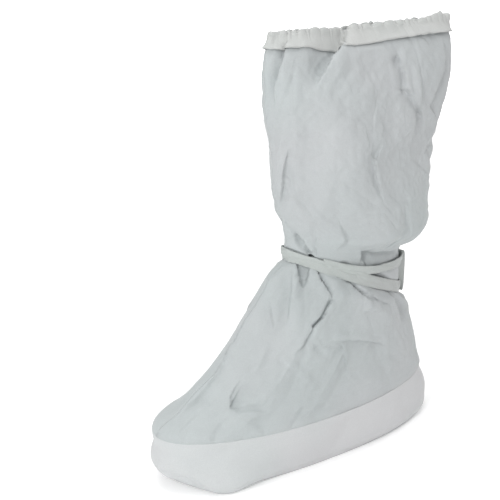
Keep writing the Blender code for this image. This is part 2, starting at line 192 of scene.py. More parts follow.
def settle_cloth(worn, cut, hold, frames):
    """The grid worn after Blender's Cloth has settled it. hold is 1 at the points that stay put.

    Its cloth is as large as the grid cut, so the spare cloth has to fold.
    """
    obj = grid_object("cloth_form", worn)
    obj.shape_key_add(name="worn", from_mix=False)
    key = obj.shape_key_add(name="cut", from_mix=False)
    key.data.foreach_set("co", cut.astype(np.float32).ravel())
    group = obj.vertex_groups.new(name="held")
    for weight in np.unique(hold):
        group.add(np.flatnonzero(hold.ravel() == weight).tolist(), float(weight), "REPLACE")
    cloth = obj.modifiers.new("Cloth", "CLOTH")
    settings = cloth.settings
    settings.quality = 5
    settings.mass = 0.05
    settings.tension_stiffness = settings.compression_stiffness = 25
    settings.shear_stiffness = 4
    settings.bending_stiffness = 4.0
    settings.tension_damping = settings.compression_damping = 10
    settings.shear_damping = 5
    settings.bending_damping = 2
    settings.air_damping = 4
    settings.vertex_group_mass = "held"
    settings.pin_stiffness = 1
    settings.rest_shape_key = key
    settings.use_pressure = True
    settings.uniform_pressure_force = 0.3
    settings.effector_weights.gravity = 0.05
    cloth.collision_settings.use_collision = False
    cloth.point_cache.frame_end = frames
    for number in range(1, frames + 1):
        bpy.context.scene.frame_set(number)
    settled = obj.evaluated_get(bpy.context.evaluated_depsgraph_get()).to_mesh()
    points = np.empty(len(settled.vertices) * 3, np.float32)
    settled.vertices.foreach_get("co", points)
    bpy.data.objects.remove(obj)
    bpy.context.scene.frame_set(1)
    return points.reshape(worn.shape).astype(float)


# Creases of the near side, as routes over the form in millimetres, one row each: how far the cloth
# stands out along it, how wide it falls off on its left and on its right, seen from outside along
# the route, and the shares of the route over which it starts and ends.
CREASES = [
    # depth, left, right, start, end, route
    # pleat's back edge
    (3.2, 7.0, 8.0, 0.0, 0.6, [(17, -30, 218), (25, -34, 198), (35, -44, 173)]),
    # middle crease's crest
    (2.4, 5.0, 12.0, 0.1, 0.7, [(49, -36, 206), (66, -38, 186), (87, -43, 158)]),
    # instep crest
    (4.0, 6.0, 7.0, 0.1, 0.8, [(-13, -15, 211), (-21, -25, 192), (-34, -40, 142)]),
    # instep nick
    (-3.5, 2.6, 2.6, 0.2, 0.2, [(-27, -4, 208), (-16, -4, 218)]),
    # heel's level crest
    (2.4, 6.0, 4.0, 0.3, 0.3, [(9, -49, 144), (36, -51, 140), (70, -51, 130)]),
    # fine crease
    (2.4, 5.0, 2.6, 0.2, 0.4, [(-56, -34, 135), (-50, -40, 126), (-39, -46, 119),
      (-24, -56, 101), (-13, -62, 85)]),
    # toe crease
    (-2.6, 2.4, 6.0, 0.2, 0.3, [(-137, -1, 91), (-134, -16, 88), (-130, -24, 86)]),
    # toe's rising crease
    (-3.2, 2.6, 8.0, 0.1, 0.4, [(-148, -47, 62), (-140, -42, 69), (-126, -39, 75)]),
    # toe's slant crease
    (-2.6, 8.0, 2.6, 0.2, 0.4, [(-179, -24, 61), (-158, -15, 73), (-136, -16, 86)]),
    # side crease
    (2.4, 5.0, 8.0, 0.3, 0.3, [(-58, -28, 148), (-68, -27, 137), (-79, -31, 118)]),
    # band's crest
    (3.0, 12.0, 14.0, 0.25, 0.25, [(87, -56, 87), (42, -64, 83), (2, -68, 75), (-34, -73, 63)]),
    # band's valley
    (-2.2, 10.0, 9.0, 0.2, 0.3, [(110, -59, 58), (51, -71, 64), (5, -74, 62), (-20, -74, 59)]),
    # small turn
    (-2.0, 2.4, 5.0, 0.3, 0.3, [(-15, -45, 144), (-7, -49, 132), (4, -52, 128)]),
    # hollow's lower edge
    (-7.0, 17.0, 3.0, 0.04, 0.4, [(-114, -32, 90), (-107, -39, 85), (-94, -45, 85), (-83, -51, 82),
      (-77, -56, 78)]),
    # toe dimple
    (-7.0, 3.0, 3.0, 0.2, 0.1, [(-181, -2, 67), (-186, -2, 64), (-188, -2, 60)]),
    # toe puckers
    (-1.8, 1.8, 3.0, 0.2, 0.3, [(-135, -9, 91), (-134, -14, 90), (-132, -17, 89)]),
    (-1.6, 2.0, 5.0, 0.3, 0.3, [(-175, -29, 62), (-172, -29, 65), (-164, -23, 70)]),
    # slants over the band
    (-2.2, 6.0, 2.4, 0.3, 0.2, [(-107, -47, 76), (-96, -56, 71), (-91, -66, 59)]),
    (-2.4, 2.6, 7.0, 0.2, 0.4, [(-66, -70, 60), (-57, -70, 65), (-43, -65, 73), (-33, -62, 81)]),
    # nicks of the instep
    (-2.0, 2.4, 4.0, 0.2, 0.3, [(-15, -46, 140), (-8, -49, 134), (2, -50, 135), (20, -53, 130)]),
    (-2.2, 5.0, 2.2, 0.2, 0.3, [(-55, -35, 134), (-53, -39, 126), (-50, -42, 121)]),
    # hem valley's crest
    (3.5, 7.0, 10.0, 0.2, 0.7, [(41, -29, 456), (20, -36, 436), (-7, -38, 406), (-21, -34, 380)]),
    # front fold's crest
    (2.8, 6.0, 8.0, 0.3, 0.5, [(-38, -20, 400), (-38, -13, 346), (-30, -7, 294)]),
    # crease to the tie
    (-4.0, 10.0, 3.0, 0.4, 0.1, [(-30, 0, 291), (-26, -1, 273), (-19, -12, 260), (-8, -18, 245)]),
    # back crease, outer
    (2.6, 6.0, 5.0, 0.3, 0.2, [(124, -35, 443), (127, -44, 418), (128, -48, 401), (142, -46, 378)]),
    # back valley
    (-4.5, 8.0, 6.0, 0.2, 0.3, [(187, -6, 350), (158, -38, 337), (182, -7, 297), (158, -36, 293)]),
    # back low crease
    (-3.0, 8.0, 3.0, 0.3, 0.3, [(119, -53, 333), (181, -11, 286), (183, -12, 264)]),
    # leg's faint level line
    (-1.6, 3.0, 9.0, 0.3, 0.3, [(-28, -29, 373), (-6, -42, 377), (7, -47, 369)]),
    # leg's broad crest
    (4.0, 24.0, 26.0, 0.3, 0.3, [(21, -48, 398), (28, -53, 345), (35, -46, 263)]),
    # leg's broad valley
    (-4.0, 22.0, 18.0, 0.3, 0.3, [(91, -37, 442), (87, -56, 370), (94, -50, 254)]),
    # leg's front valley
    (-4.0, 18.0, 14.0, 0.3, 0.3, [(-13, -37, 400), (-19, -34, 348), (-7, -30, 273)]),
    # hem's back shade
    (-4.5, 4.0, 10.0, 0.2, 0.5, [(109, -29, 455), (110, -35, 444), (103, -42, 431)]),
    # pocket under the tie
    (-4.0, 5.0, 5.0, 0.0, 0.6, [(-7, -17, 228), (-7, -19, 211), (-13, -26, 197)]),
    # heel's crest
    (3.4, 6.0, 6.0, 0.3, 0.3, [(128, -24, 166), (145, -20, 148), (160, -12, 126)]),
    # heel fold
    (-3.5, 8.0, 5.0, 0.2, 0.5, [(128, -27, 163), (136, -28, 143), (141, -31, 120)]),
]

# Folds of the near side where one layer laps over the next: the side of the upper layer, how far its
# edge rises and how wide, how deep the lower layer sinks under it and how wide, in millimetres.
LAPS = [
    # upper, rise, rise width, sink, sink width, start, end, route
    # pocket's front edge
    ("right", 1.2, 5.0, 5.0, 7.0, 0.0, 0.35, [(-13, -11, 229), (-10, -15, 213), (-12, -26, 198)]),
    # pocket's back edge
    ("left", 0.8, 4.0, 5.0, 7.0, 0.0, 0.35, [(0, -22, 226), (-3, -21, 211), (-12, -26, 198)]),
    # deep pleat
    ("right", 1.6, 10.0, 8.5, 3.4, 0.0, 0.25, [(0, -22, 230), (9, -26, 210), (13, -33, 197),
      (18, -39, 183)]),
    # its turn
    ("right", 0.8, 12.0, 6.5, 4.0, 0.1, 0.12, [(-14, -42, 156), (1, -42, 166), (9, -40, 175),
      (18, -39, 184)]),
    # its lower run
    ("right", 1.2, 6.0, 2.8, 3.5, 0.15, 0.5, [(-11, -41, 160), (-17, -41, 155), (-25, -42, 144),
      (-41, -42, 129)]),
    # middle pleat
    ("right", 1.2, 9.0, 5.5, 7.0, 0.0, 0.7, [(37, -35, 213), (44, -36, 201), (55, -39, 186),
      (77, -44, 161)]),
    # heel lap
    ("right", 1.4, 9.0, 7.0, 10.0, 0.0, 0.35, [(82, -36, 195), (104, -34, 173), (120, -35, 148),
      (130, -36, 125)]),
    # instep lap
    ("left", 1.6, 7.0, 2.4, 12.0, 0.15, 0.5, [(-14, -7, 218), (-25, -19, 199), (-33, -26, 181),
      (-40, -34, 156)]),
    # instep's outer lap
    ("left", 1.0, 8.0, 1.8, 12.0, 0.3, 0.5, [(-47, -8, 188), (-51, -20, 172), (-53, -28, 153)]),
    # level crease
    ("right", 1.2, 6.0, 2.6, 12.0, 0.25, 0.35, [(94, -50, 110), (77, -52, 120), (50, -53, 130),
      (21, -51, 137), (2, -49, 138)]),
    # hanging crease
    ("left", 1.0, 8.0, 1.8, 10.0, 0.15, 0.5, [(22, -52, 134), (27, -55, 121), (30, -62, 90)]),
    # hollow's front edge
    ("right", 0.4, 6.0, 2.2, 18.0, 0.6, 0.02, [(-92, -25, 115), (-102, -25, 106), (-110, -27, 98),
      (-113, -31, 91)]),
    # roll along the front seam
    ("right", 1.5, 5.0, 2.0, 6.0, 0.1, 0.2, [(-71, 0, 163), (-86, 0, 140), (-104, -2, 120),
      (-126, -4, 99), (-144, -4, 85), (-166, -4, 72), (-181, -11, 66)]),
    # back plait
    ("left", 1.2, 8.0, 3.2, 8.0, 0.0, 0.5, [(41, -35, 205), (59, -39, 185), (85, -41, 168),
      (116, -36, 151)]),
    # over the tie
    ("left", 1.4, 9.0, 4.8, 6.0, 0.3, 0.1, [(-18, -13, 261), (-9, -20, 250), (2, -24, 237)]),
    # nick over the tie
    ("left", 0.8, 4.0, 2.0, 2.6, 0.3, 0.0, [(2, -31, 258), (3, -28, 248), (6, -26, 237)]),
    # shelter's top edge
    ("left", 1.6, 9.0, 6.0, 9.0, 0.02, 0.2, [(62, -38, 229), (80, -38, 226), (103, -35, 222),
      (127, -35, 226)]),
    # shelter's front edge
    ("right", 1.0, 6.0, 4.0, 9.0, 0.1, 0.0, [(61, -39, 230), (64, -37, 224), (67, -37, 215)]),
    # hem's slant fold
    ("left", 1.8, 10.0, 9.0, 17.0, 0.0, 0.35, [(55, -17, 476), (45, -21, 467), (30, -27, 457),
      (13, -32, 445), (-12, -34, 419)]),
    # front fold
    ("left", 1.6, 10.0, 5.0, 7.0, 0.1, 0.4, [(-26, -12, 468), (-38, -15, 443), (-43, -12, 422),
      (-44, -11, 398)]),
    # leg's low front fold
    ("right", 1.4, 10.0, 3.6, 9.0, 0.3, 0.3, [(-32, -25, 363), (-34, -18, 340), (-32, -12, 311),
      (-30, -5, 289)]),
    # back fold, upper
    ("left", 1.4, 6.0, 4.6, 10.0, 0.1, 0.1, [(108, -34, 448), (112, -43, 425), (110, -49, 407)]),
    # back fold, lower
    ("left", 1.6, 7.0, 4.0, 11.0, 0.1, 0.6, [(108, -47, 414), (122, -50, 393), (135, -48, 378),
      (144, -45, 358)]),
    # back face's edge
    ("right", 1.4, 10.0, 2.6, 7.0, 0.15, 0.2, [(183, -17, 457), (175, -29, 423), (160, -38, 408),
      (147, -44, 387), (186, -4, 345)]),
    # middle fold of the leg
    ("left", 1.4, 8.0, 3.4, 11.0, 0.3, 0.3, [(72, -57, 363), (55, -57, 341), (60, -57, 318),
      (73, -56, 290)]),
]


def along_route(flat, around, route):
    """Each point's distance to a route, signed by side, and its share of the way along it."""
    best = np.full(len(flat), np.inf)
    signed, share = np.zeros(len(flat)), np.zeros(len(flat))
    steps = np.diff(route, axis=0)
    lengths = np.linalg.norm(steps, axis=1)
    run = np.concatenate([[0], np.cumsum(lengths)]) / lengths.sum()
    for k, step in enumerate(steps):
        t = np.clip((flat - route[k]) @ step / (step @ step), 0, 1)
        off = flat - route[k] - t[:, None] * step
        far = np.linalg.norm(off, axis=1)
        near = far < best
        best[near] = far[near]
        side = np.einsum("ij,ij->i", np.cross(step, around), off)
        signed[near] = (far * np.where(side < 0, -1.0, 1.0))[near]
        share[near] = (run[k] + t * (run[k + 1] - run[k]))[near]
    return signed, share


def heights(points, normals, rows, profile):
    """How far the rows of a crease table lift or sink each point, in metres."""
    total = np.zeros(points.shape[:2])
    for *values, start, end, route in rows:
        route = np.array(route, float) / 1000
        reach = 1.75 * max(value for value in values if not isinstance(value, str)) / 1000
        near = ((points > route.min(0) - reach) & (points < route.max(0) + reach)).all(-1)
        signed, share = along_route(points[near], normals[near], route)
        lift = profile(signed, *values)
        if start > 0:
            lift = lift * ramp(share, 0, start)
        if end > 0:
            lift = lift * ramp(1 - share, 0, end)
        total[near] += lift
    return total


def crease_profile(signed, depth, left, right):
    """A crest or a valley, as wide on each side as it is told."""
    wide = np.where(signed < 0, left, right) / 1000
    return depth / 1000 * np.clip(1 - np.abs(signed) / (1.6 * wide), 0, 1) ** 1.25


def lap_profile(signed, upper, rise, rise_width, sink, sink_width):
    """An edge that stands over a pocket, with a wall between them."""
    if upper == "right":
        signed = -signed
    over = np.clip(1 - np.abs(signed) * 1000 / (1.7 * rise_width), 0, 1) ** 1.6
    under = np.clip(1 - np.abs(signed) * 1000 / (1.7 * sink_width), 0, 1) ** 1.3
    wall = ramp(signed, -0.0005, 0.0005)
    return rise / 1000 * over * (1 - wall) - sink / 1000 * under * wall


def facets(flat, size, seed, stretch=1.0):
    """A crumpled sheet's height: flat faces between sharp edges, through random points on it.

    flat holds each grid point's place on the unrolled cloth, in metres, and size is the mean
    distance between the corners of the faces. Rows are rings, so the pattern meets at the seam.
    """
    rng = np.random.default_rng(seed)
    width = flat[..., 0].max() + (flat[0, 1, 0] - flat[0, 0, 0])
    low, high = flat[..., 1].min() - size, flat[..., 1].max() + size
    count = int(width * (high - low) / (size * size * stretch)) + 8
    spots = np.stack([rng.uniform(0, width, count), rng.uniform(low, high, count)], 1)
    rises = rng.uniform(-1, 1, count)
    spots = np.concatenate([spots - (width, 0), spots, spots + (width, 0)])
    rises = np.tile(rises, 3)
    keep = (spots[:, 0] > -4 * size) & (spots[:, 0] < width + 4 * size)
    spots, rises = spots[keep] / (1, stretch), rises[keep]
    mesh = delaunay_2d_cdt([Vector(spot) for spot in spots], [], [], 0, 1e-6)
    corners, triangles = np.array([tuple(v) for v in mesh[0]]), mesh[2]
    values = rises[[ids[0] for ids in mesh[3]]]
    total = np.zeros(flat.shape[:2])
    place = flat / (1, stretch)
    for a, b, c in triangles:
        pa, pb, pc = corners[a], corners[b], corners[c]
        lo, hi = np.minimum(np.minimum(pa, pb), pc), np.maximum(np.maximum(pa, pb), pc)
        inside = ((place >= lo) & (place <= hi)).all(-1)
        if not inside.any():
            continue
        rel = place[inside] - pa
        det = (pb - pa)[0] * (pc - pa)[1] - (pb - pa)[1] * (pc - pa)[0]
        u = (rel[:, 0] * (pc - pa)[1] - rel[:, 1] * (pc - pa)[0]) / det
        v = ((pb - pa)[0] * rel[:, 1] - (pb - pa)[1] * rel[:, 0]) / det
        good = (u >= -1e-9) & (v >= -1e-9) & (u + v <= 1 + 1e-9)
        where = np.argwhere(inside)[good]
        face = values[a] + u * (values[b] - values[a]) + v * (values[c] - values[a])
        total[where[:, 0], where[:, 1]] = face[good]
    return total


def finer(grid, times_up, times_around):
    """The grid with so many times its rows and columns, by smooth curves through its points."""
    rows, cols = grid.shape[:2]

    def curve(points, where, closed):
        """The curve through the points, read at places counted in points."""
        count = len(points)
        i = np.floor(where).astype(int)
        t = (where - i).reshape(-1, *([1] * (points.ndim - 1)))
        if closed:
            p = [points[(i + k) % count] for k in (-1, 0, 1, 2)]
        else:
            p = [points[np.clip(i + k, 0, count - 1)] for k in (-1, 0, 1, 2)]
        return 0.5 * (2 * p[1] + (p[2] - p[0]) * t + (2 * p[0] - 5 * p[1] + 4 * p[2] - p[3]) * t**2
                      + (3 * p[1] - p[0] - 3 * p[2] + p[3]) * t**3)

    tall = curve(grid, np.arange((rows - 1) * times_up + 1) / times_up, False)
    wide = curve(tall.swapaxes(0, 1), np.arange(cols * times_around) / times_around, True)
    return wide.swapaxes(0, 1)


# The cover is held at the band's seam, under the tie and at the top.
BAND_TOP, TIE_LOW, TIE_HIGH, LEG_TOP = 0.0560, 0.1920, 0.2280, 0.4760
SIM_COLS = 108
SIM_LEVELS = np.concatenate([
    np.linspace(BAND_TOP, TIE_LOW, 29),
    np.linspace(TIE_LOW, TIE_HIGH, 10)[1:-1],
    np.linspace(TIE_HIGH, LEG_TOP, 45),
])
SIM_FRAMES = 22
FINER_UP, FINER_AROUND = 4, 5


def gathered_cloth():
    """The cover's settled cloth, its form and its levels, as fine grids."""
    base = cover_grid(SIM_LEVELS, SIM_COLS)
    shape = base.shape[:2]
    level = np.broadcast_to(SIM_LEVELS[:, None], shape)
    normals = grid_normals(base)
    creases = heights(base, normals, CREASES, crease_profile)
    creases = 0.3 * (creases + heights(base, normals, LAPS, lap_profile))
    over = np.maximum(level - TIE_HIGH, 0)
    under = np.maximum(TIE_LOW - level, 0)
    held = (level >= TIE_LOW - 1e-6) & (level <= TIE_HIGH + 1e-6)
    # Spare cloth round the tie and at the top, as a share of the form's width.
    spare = 1.002 + 0.20 * np.exp(-over / 0.03) * (level > TIE_HIGH)
    spare = spare + 0.20 * np.exp(-under / 0.035) * (level < TIE_LOW)
    spare = spare + 0.06 * np.exp(-(((level - LEG_TOP) / 0.03) ** 2))
    worn = base + normals * (creases + 0.0010 * wander(shape, 5, 5, SEED))[..., None]
    middle = base.mean(1, keepdims=True)
    cut = base + normals * creases[..., None]
    cut[..., :2] = middle[..., :2] + (cut - middle)[..., :2] * spare[..., None]
    cut[..., 2] *= 1.004
    hold = np.where(held, 1.0, 0.0)
    hold[0] = hold[-1] = 1.0
    points = settle_cloth(worn, cut, hold, SIM_FRAMES)
    # The broad drift is taken back out, so that the cloth keeps to the form.
    drift = row_blur(SIM_LEVELS, 0.03) @ (points - base).reshape(shape[0], -1)
    drift = np.einsum("kl,ilc->ikc", ring_blur(SIM_COLS, 14), drift.reshape(base.shape))
    points = points - drift * (1 - held[..., None])
    grids = points, base, level[..., None]
    points, base, level = (finer(grid, FINER_UP, FINER_AROUND) for grid in grids)
    return points, base, level[..., 0]


def solid_sheet(obj, thickness):
    """Gives a cloth its thickness, inwards from its outer face, and applies it."""
    wall = obj.modifiers.new("Wall", "SOLIDIFY")
    wall.thickness = thickness
    wall.offset = -1.0
    wall.use_even_offset = False
    bpy.context.view_layer.objects.active = obj
    with bpy.context.temp_override(object=obj, active_object=obj, selected_objects=[obj]):
        bpy.ops.object.modifier_apply(modifier=wall.name)
    obj.data.shade_smooth()


def seam_columns(count):
    """Each column's distance from the nearer seam, in columns, and the side it is on."""
    half = count // 2
    place = np.arange(count)
    front = np.minimum(place, count - place)
    back = np.abs(place - half)
    return np.minimum(front, back), front < back


# The far side's folds are some of the near side's, mirrored and moved a little.
FAR_CREASES = [
    (depth, right, left, start, end, [(x + 6, -y, z - 4) for x, y, z in route])
    for depth, left, right, start, end, route in CREASES[1::2]
]
FAR_LAPS = [
    ("left" if upper == "right" else "right", rise, rise_width, 0.8 * sink, sink_width, start, end,
     [(x - 5, -y, z - 3) for x, y, z in route])
    for upper, rise, rise_width, sink, sink_width, start, end, route in LAPS[0:22:2]
]

# The crumpled look between the folds, as layers of flat facets.
FACETS = (
    # height, size, how much taller than wide, seed
    (0.0043, 0.034, 1.6, SEED),
    (0.0009, 0.015, 1.3, SEED + 1),
    (0.0042, 0.062, 1.9, SEED + 4),
)
COLUMN_WIDTH = 0.00098
PANEL_WALL = 0.0011
# What each panel stands back from a seam, as a share of a column.
SEAM_GAP = 0.02


def sewn_cloth():
    """The cover's outer face, its inner face and its levels, with seams, facets and sharp creases."""
    points, base, level = gathered_cloth()
    # The cloth starts on the form, so that it meets the band's top edge with no slit.
    points = base + (points - base) * ramp(level, 0.060, 0.074)[..., None]
    normals = grid_normals(points)
    flat_normals = grid_normals(base)
    rows, cols = shape = base.shape[:2]
    steps = np.linalg.norm(np.diff(base, axis=1, append=base[:, :1]), axis=2).mean(1)
    flat = np.stack(np.meshgrid(np.arange(cols) * COLUMN_WIDTH, np.zeros(rows)), -1)
    flat[..., 1] = level
    away, front = seam_columns(cols)
    away = away[None, :] * steps[:, None]
    tied = ramp(level, TIE_LOW - 0.016, TIE_LOW)
    tied = tied * (1 - ramp(level, TIE_HIGH, TIE_HIGH + 0.014))
    calm = (1 - tied) * (1 - 0.8 * (1 - ramp(level, BAND_TOP, BAND_TOP + 0.02)))
    lift = 0.7 * heights(base, flat_normals, CREASES, crease_profile)
    lift += heights(base, flat_normals, LAPS + FAR_LAPS, lap_profile)
    lift += heights(base, flat_normals, FAR_CREASES, crease_profile)
    for height, size, stretch, seed in FACETS:
        lift += calm * height * facets(flat, size, seed, stretch)
    lift += calm * 0.0009 * wander(shape, 16, 20, SEED + 2)
    # The seams: a welt that puckers, with a groove along its middle.
    pucker = wander(shape, 3.2, 50, SEED + 3)
    welt = np.exp(-((away / 0.0045) ** 2)) * np.where(front, 1.0, 0.6)
    lift += welt * (0.0022 + 0.0008 * pucker) * (1 - 0.7 * tied)
    lift -= np.exp(-((away / 0.0010) ** 2)) * 0.0010
    lift += np.exp(-((away / 0.012) ** 2)) * 0.0005 * pucker * (1 - tied)
    lift = np.minimum(lift, 0.0004 + 0.3 * np.maximum(level - 0.0600, 0))
    under_band = 1 - ramp(level, 0.0582, 0.0600)
    lift = lift * (1 - under_band) - 0.0005 * under_band
    # The top edge hangs a little lower on the far side.
    points[..., 2] -= 0.0045 * (ramp(level, 0.43, 0.476) * ramp(points[..., 1], -0.004, 0.012))
    outer = under_straps(points + normals * lift[..., None])
    inner = under_straps(points + normals * (deepest(lift, 3) - PANEL_WALL)[..., None])
    return outer, inner, level


# The tied ankle is an ellipse seen from above, and the straps run from its front to its back.
NECK_MIDDLE, NECK_REACH, NECK_HALF = 0.0655, 0.0815, 0.0370
STRAP_FRONT, STRAP_RUN = -0.016, 0.163
BAND_WIDTH, CROSS_WIDTH, LOOP_WIDTH = 0.0145, 0.0124, 0.0108
STRAP_WALL = 0.0011


def band_height(t):
    """The middle of the strap round the ankle. t runs from 0 at its front to 1 at its back."""
    return 0.2325 - 0.0695 * t


def cross_height(t):
    """The middle of its second turn, which rises from the first towards the back."""
    return band_height(t) + 0.036 * t**2 + 0.001


def under_straps(points):
    """Presses the cloth in where the straps hold it, and leaves it to bulge beside them."""
    t = np.clip((points[..., 0] - STRAP_FRONT) / STRAP_RUN, 0, 1)
    beside = np.abs(points[..., 2] - band_height(t)) - 0.0078
    off_cross = np.abs(points[..., 2] - cross_height(t)) - 0.0066
    beside = np.minimum(beside, np.where(t > 0.3, off_cross, 1.0))
    room = np.where(beside < 0, -0.0004, -0.0004 + 1.5 * beside)
    across = (points[..., 0] - NECK_MIDDLE) / (NECK_REACH + room)
    reach = np.sqrt(across**2 + (points[..., 1] / (NECK_HALF + room)) ** 2)
    scale = np.where((beside < 0.02) & (reach > 1), 1 / np.maximum(reach, 1e-6), 1.0)
    pressed = points.copy()
    pressed[..., 0] = NECK_MIDDLE + (points[..., 0] - NECK_MIDDLE) * scale
    pressed[..., 1] = points[..., 1] * scale
    return pressed


def deepest(lift, reach):
    """The lowest value near each point of a grid."""
    low = lift.copy()
    for k in range(1, reach + 1):
        low = np.minimum(low, np.minimum(np.roll(lift, k, 1), np.roll(lift, -k, 1)))
    side = low.copy()
    for k in range(1, reach + 1):
        side[k:] = np.minimum(side[k:], low[:-k])
        side[:-k] = np.minimum(side[:-k], low[k:])
    return side


def walled_panel(name, outer, inner):
    """A panel closed all round: its fine outer face, and an inner wall of every third point.

    Its rows and its columns are each one more than a multiple of three.
    """
    thin = inner[::3, ::3]
    fine = np.arange(outer.shape[0] * outer.shape[1]).reshape(outer.shape[:2])
    coarse = fine.size + np.arange(thin.shape[0] * thin.shape[1]).reshape(thin.shape[:2])

    def quads(ids, turned):
        corners = [ids[:-1, :-1], ids[:-1, 1:], ids[1:, 1:], ids[1:, :-1]]
        return np.stack(corners[::-1] if turned else corners, -1).reshape(-1, 4).tolist()

    faces = quads(fine, False) + quads(coarse, True)
    edges = (
        (fine[0], coarse[0], True),
        (fine[-1], coarse[-1], False),
        (fine[:, 0], coarse[:, 0], False),
        (fine[:, -1], coarse[:, -1], True),
    )
    for long, short, turned in edges:
        for k in range(len(short) - 1):
            a, b, c, d = (int(v) for v in long[3 * k : 3 * k + 4])
            e, f = int(short[k]), int(short[k + 1])
            for face in ((a, b, e), (b, c, e), (c, d, f, e)):
                faces.append(face[::-1] if turned else face)
    mesh = bpy.data.meshes.new(name)
    mesh.from_pydata(outer.reshape(-1, 3).tolist() + thin.reshape(-1, 3).tolist(), [], faces)
    mesh.shade_smooth()
    panel = bpy.data.objects.new(name, mesh)
    bpy.context.scene.collection.objects.link(panel)
    return panel


def make_panels(outer, inner):
    """The left and the right panel, each half of the cover's outer and inner faces."""
    count = outer.shape[1]
    half = count // 2
    for name, cols in (
        ("left_panel_cloth", np.arange(0, half + 1)),
        ("right_panel_cloth", np.arange(half, count + 1) % count),
    ):
        grid, lining = outer[:, cols].copy(), inner[:, cols].copy()
        for face in (grid, lining):
            face[:, 0] += (face[:, 1] - face[:, 0]) * SEAM_GAP
            face[:, -1] += (face[:, -2] - face[:, -1]) * SEAM_GAP
        panel = walled_panel(name, grid, lining)
        panel.data.materials.append(cloth_material("upper_cloth", (0.480, 0.506, 0.512), 1.0))
        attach(panel, "root")
        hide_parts(name.replace("_cloth", ""))


def puckers(count, spacing, seed):
    """The gathers of an elastic, round a ring: 1 on the crests, and 0 in the sharp notches."""
    rng = np.random.default_rng(seed)
    gaps = rng.uniform(0.35, 2.3, int(round(count / spacing)))
    edges = np.concatenate([[0], np.cumsum(gaps)]) * count / gaps.sum()
    place = np.arange(count)
    k = np.clip(np.searchsorted(edges, place, side="right") - 1, 0, len(gaps) - 1)
    share = (place - edges[k]) / (edges[k + 1] - edges[k])
    size = rng.uniform(0.45, 1.0, len(gaps))[k]
    return size * np.sin(math.pi * share) ** 0.65


HEM_PROFILE = (
    # level, out from the cover, share of the gathers, rise, share of the wavy edge
    (0.4600, -0.0014, 0.0, 0.0000, 0.0),
    (0.4680, -0.0014, 0.1, 0.0000, 0.0),
    (0.4740, -0.0012, 0.6, 0.0006, 0.0),
    (0.4760, -0.0006, 1.0, 0.0022, 0.0),
    (0.4760, 0.0004, 1.0, 0.0028, 0.0),
    (0.4760, 0.0012, 1.0, 0.0022, 0.0),
    (0.4758, 0.0016, 1.0, 0.0006, 0.0),
    (0.4745, 0.0018, 0.9, 0.0000, 0.0),
    (0.4730, 0.0016, 0.6, 0.0000, 0.0),
    (0.4715, 0.0014, 0.35, 0.0000, 0.0),
    (0.4690, 0.0014, 0.2, 0.0000, 0.1),
    (0.4665, 0.0016, 0.12, 0.0000, 0.3),
    (0.4635, 0.0020, 0.06, 0.0000, 0.6),
    (0.4608, 0.0025, 0.02, 0.0000, 0.9),
    (0.4590, 0.0029, 0.0, 0.0000, 1.0),
)


def make_hem(cover, levels):
    """The casing at the top: folded over, gathered by its elastic, its cut edge hanging free."""
    normals = grid_normals(cover)
    cover_cols = cover.shape[1]
    count = cover_cols * 3 // 2
    spots = np.arange(count) / 1.5

    def read(grid, level):
        """The grid's points at one level, at the spots round it."""
        place = np.interp(level, levels[:, 0], np.arange(len(grid)))
        i = min(int(place), len(grid) - 2)
        row = grid[i] * (1 - (place - i)) + grid[i + 1] * (place - i)
        i = np.floor(spots).astype(int)
        t = (spots - i)[:, None]
        return row[i] * (1 - t) + row[(i + 1) % cover_cols] * t

    gather = puckers(count, 17, SEED + 5)
    knob = np.exp(-(((np.arange(count) - count * 0.47) / 9.0) ** 2))
    drift = wander((1, count), 1, 16, SEED + 6)[0]
    slow = wander((1, count), 1, 40, SEED + 7)[0]
    crest = 0.0030 * (gather - 0.75) + 0.0008 * drift + 0.0040 * knob
    rows = []
    for level, out, share, rise, loose in HEM_PROFILE:
        normal = read(normals, level)
        normal[:, 2] *= 0.3
        normal /= np.linalg.norm(normal, axis=1, keepdims=True)
        push = out + share * 0.0024 * (gather - 0.45) * (1 if out > 0 else 0.3)
        push = push + loose * 0.0006 * np.maximum(slow, -1.2) + 0.0002 * drift * share
        row = read(cover, level) + normal * push[:, None]
        row[:, 2] += rise + share * (rise > 0) * crest
        row[:, 2] += loose * 0.0010 * slow
        rows.append(row)
    grid = np.stack(rows)
    hem = grid_object("top_hem_cloth", grid)
    solid_sheet(hem, 0.0007)
    hem.data.materials.append(cloth_material("hem_cloth", (0.543, 0.556, 0.545), 0.8))
    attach(hem, "root")
    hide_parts("top_hem")


# Creases of the sole's band, as in CREASES: its turned-under toe corner, the dent below that, and a
# low roll along the near side.
SOLE_CREASES = [
    (4.6, 14.0, 4.0, 0.1, 0.1, [(-188, 0, 21), (-179, -28, 27), (-169, -38, 20), (-153, -46, 8),
      (-143, -50, 1)]),
    (-2.6, 3.0, 8.0, 0.1, 0.1, [(-180, -14, 20), (-171, -32, 13), (-160, -42, 5)]),
    (2.0, 8.0, 12.0, 0.3, 0.3, [(-160, -50, 22), (-120, -62, 14), (-60, -66, 12)]),
]
SOLE_BULGES = (
    # height, middle along x, its reach, level, its reach
    (0.0055, -0.125, 0.035, 0.010, 0.014),
    (0.0060, -0.134, 0.020, 0.002, 0.012),
)
SOLE_COLS = 324
SOLE_TOP = 0.0590


